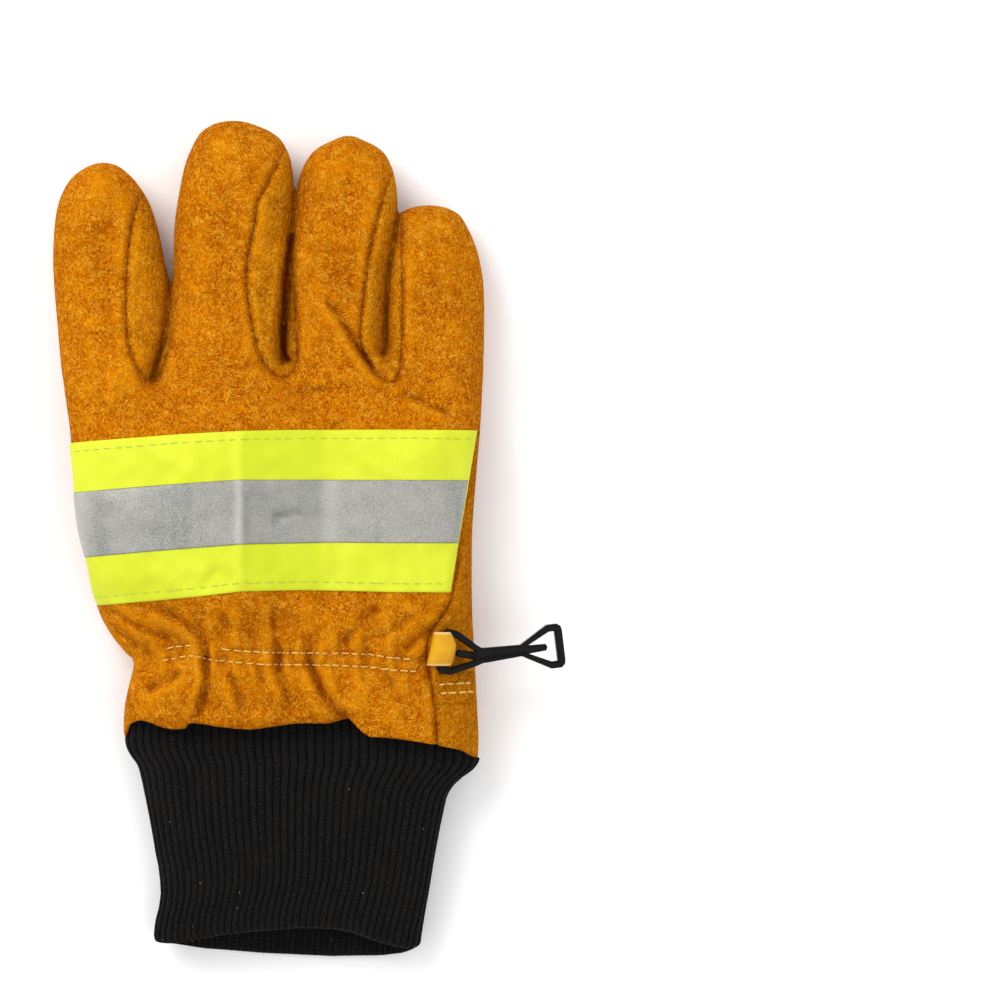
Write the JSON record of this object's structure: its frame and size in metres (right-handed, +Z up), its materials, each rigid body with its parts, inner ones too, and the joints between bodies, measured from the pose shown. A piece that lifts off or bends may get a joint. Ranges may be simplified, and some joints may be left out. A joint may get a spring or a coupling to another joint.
{
  "type": "firefighter glove",
  "caption": "Right-hand padded split-leather rescue glove lying on its palm: panelled fingers, folded thumb, high-visibility band, gathered wrist, rib-knit cuff and a clip in a side loop",
  "frame": {"origin": "on the surface that the glove lies on, under the middle of the palm", "axes": "+Y towards the fingertips, +X towards the little finger's side, +Z up from the palm to the back"},
  "size_m": [0.1601, 0.2631, 0.0379],
  "materials": {
    "suede": "fuzzy split leather, orange brown",
    "lime_tape": "fluorescent lime woven tape",
    "silver_tape": "silver retroreflective film with fine grain",
    "knit": "black rib knit",
    "yellow_leather": "smooth yellow strap leather",
    "black_plastic": "moulded black plastic, satin"
  },
  "bodies": {
    "root": {"back_panel": "suede", "palm_panel": "suede", "fourchette_index_middle": "suede", "fourchette_middle_ring": "suede", "fourchette_ring_little": "suede", "side_gusset": "suede", "thumb": "suede", "strap_patch": "suede", "band_lime": "lime_tape", "band_silver": "silver_tape", "knit_cuff": "knit", "hang_loop": "yellow_leather", "snap_clip": "black_plastic"}
  },
  "joints": []
}
